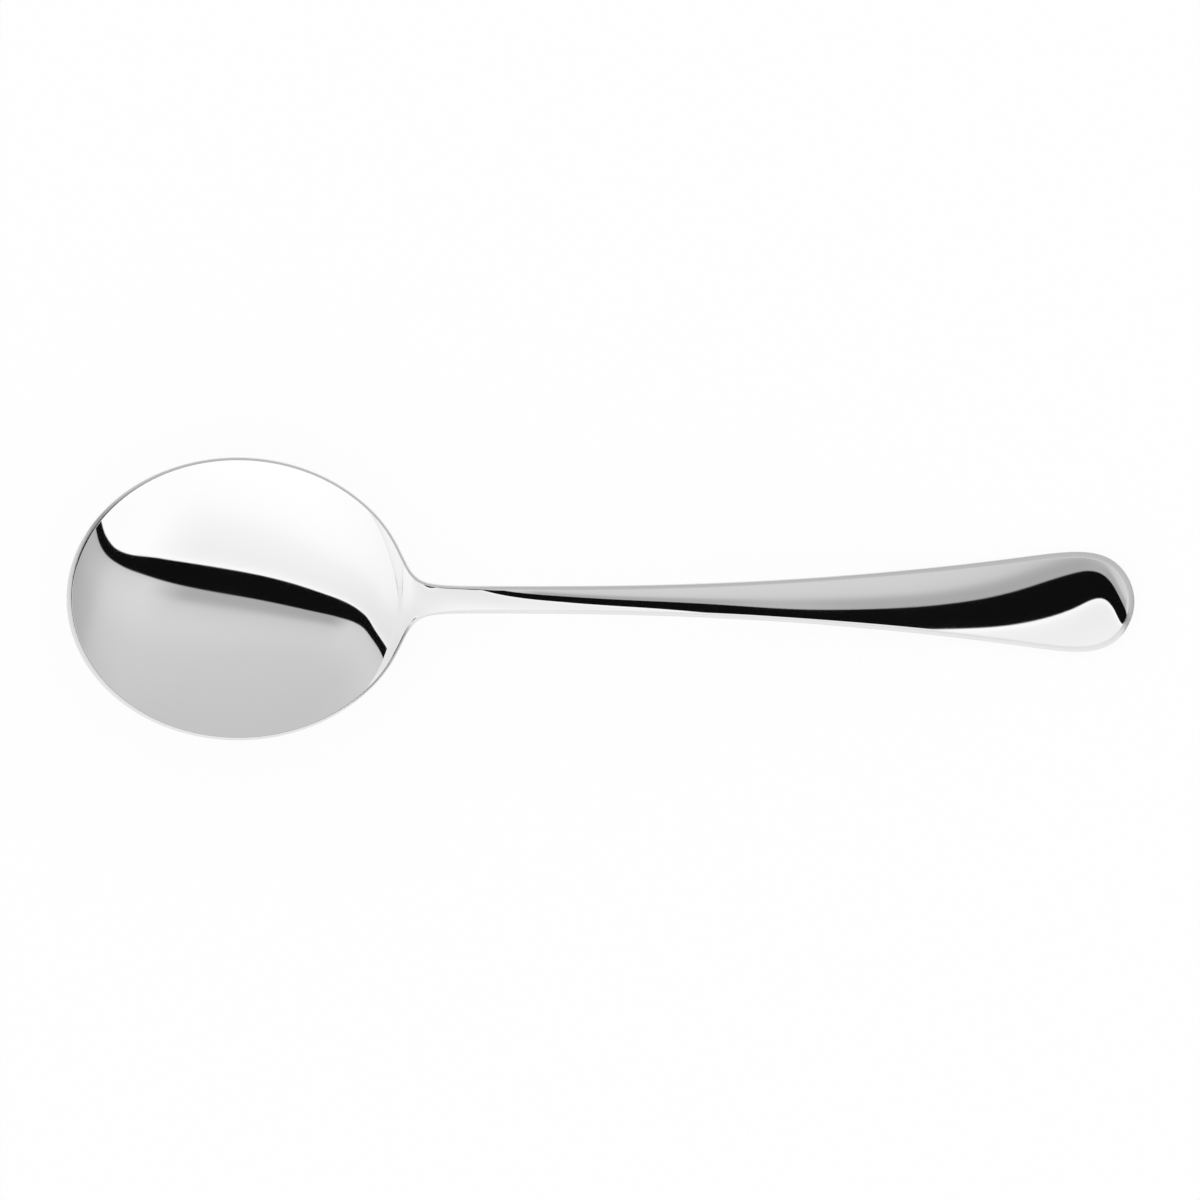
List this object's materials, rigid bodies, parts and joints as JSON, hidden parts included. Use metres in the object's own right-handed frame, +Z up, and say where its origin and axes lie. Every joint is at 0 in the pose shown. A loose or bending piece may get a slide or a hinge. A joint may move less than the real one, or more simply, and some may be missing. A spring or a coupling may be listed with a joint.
{
  "type": "soup spoon",
  "caption": "Round-bowl table soup spoon in polished stainless steel, with a slim arched stem and a rounded teardrop handle.",
  "frame": {"origin": "on the table, below the middle of the spoon's length and width", "axes": "+X along the spoon from the tip of the bowl to the end of the handle, +Y to its left side, +Z up out of the open bowl"},
  "size_m": [0.175, 0.0464, 0.0129],
  "materials": {
    "polished_steel": "polished"
  },
  "bodies": {
    "root": {"spoon": "polished_steel"}
  },
  "joints": []
}
